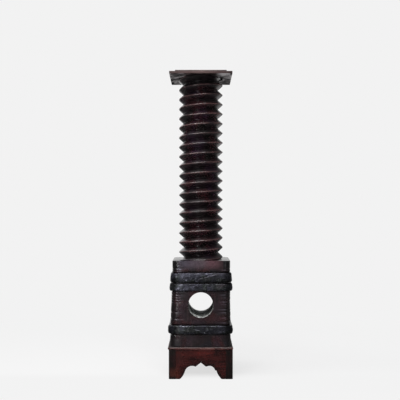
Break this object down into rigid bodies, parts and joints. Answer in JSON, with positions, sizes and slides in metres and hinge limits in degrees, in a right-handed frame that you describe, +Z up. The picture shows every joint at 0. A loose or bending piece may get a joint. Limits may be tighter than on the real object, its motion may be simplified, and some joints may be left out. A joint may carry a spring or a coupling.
{
  "type": "press screw pedestal",
  "caption": "Tall pedestal: wooden press screw standing on its square iron-strapped head block with a lever hole, on a bracket-foot plinth, with a two-tier square top.",
  "frame": {"origin": "middle of the floor under the four feet", "axes": "+Z up along the screw, -Y towards the front, with the lever hole running front to back along Y, +X to the right seen from the front"},
  "size_m": [0.3056, 0.3066, 1.4323],
  "materials": {
    "press_wood": "old walnut, waxed nearly black",
    "forged_iron": "hammered, blue-black",
    "mahogany": "stained and polished",
    "deal": "planed, unfinished",
    "top_wood": "stained and waxed",
    "steel": "zinc plated"
  },
  "bodies": {
    "root": {"press_screw": "press_wood", "strap_upper": "forged_iron", "strap_middle": "forged_iron", "strap_lower": "forged_iron", "plinth_top": "mahogany", "apron_front": "mahogany", "apron_back": "mahogany", "apron_left": "mahogany", "apron_right": "mahogany", "corner_post_front_left": "mahogany", "corner_post_front_right": "mahogany", "corner_post_back_left": "mahogany", "corner_post_back_right": "mahogany", "plinth_deck": "deal", "cleat_front": "deal", "cleat_back": "deal", "cleat_left": "deal", "cleat_right": "deal", "top_plate": "top_wood", "top_board": "top_wood", "lag_screws": "steel", "lag_washers": "steel", "deck_screws": "steel", "cleat_screws": "steel", "plate_screws": "steel", "board_screws": "steel"}
  },
  "joints": []
}
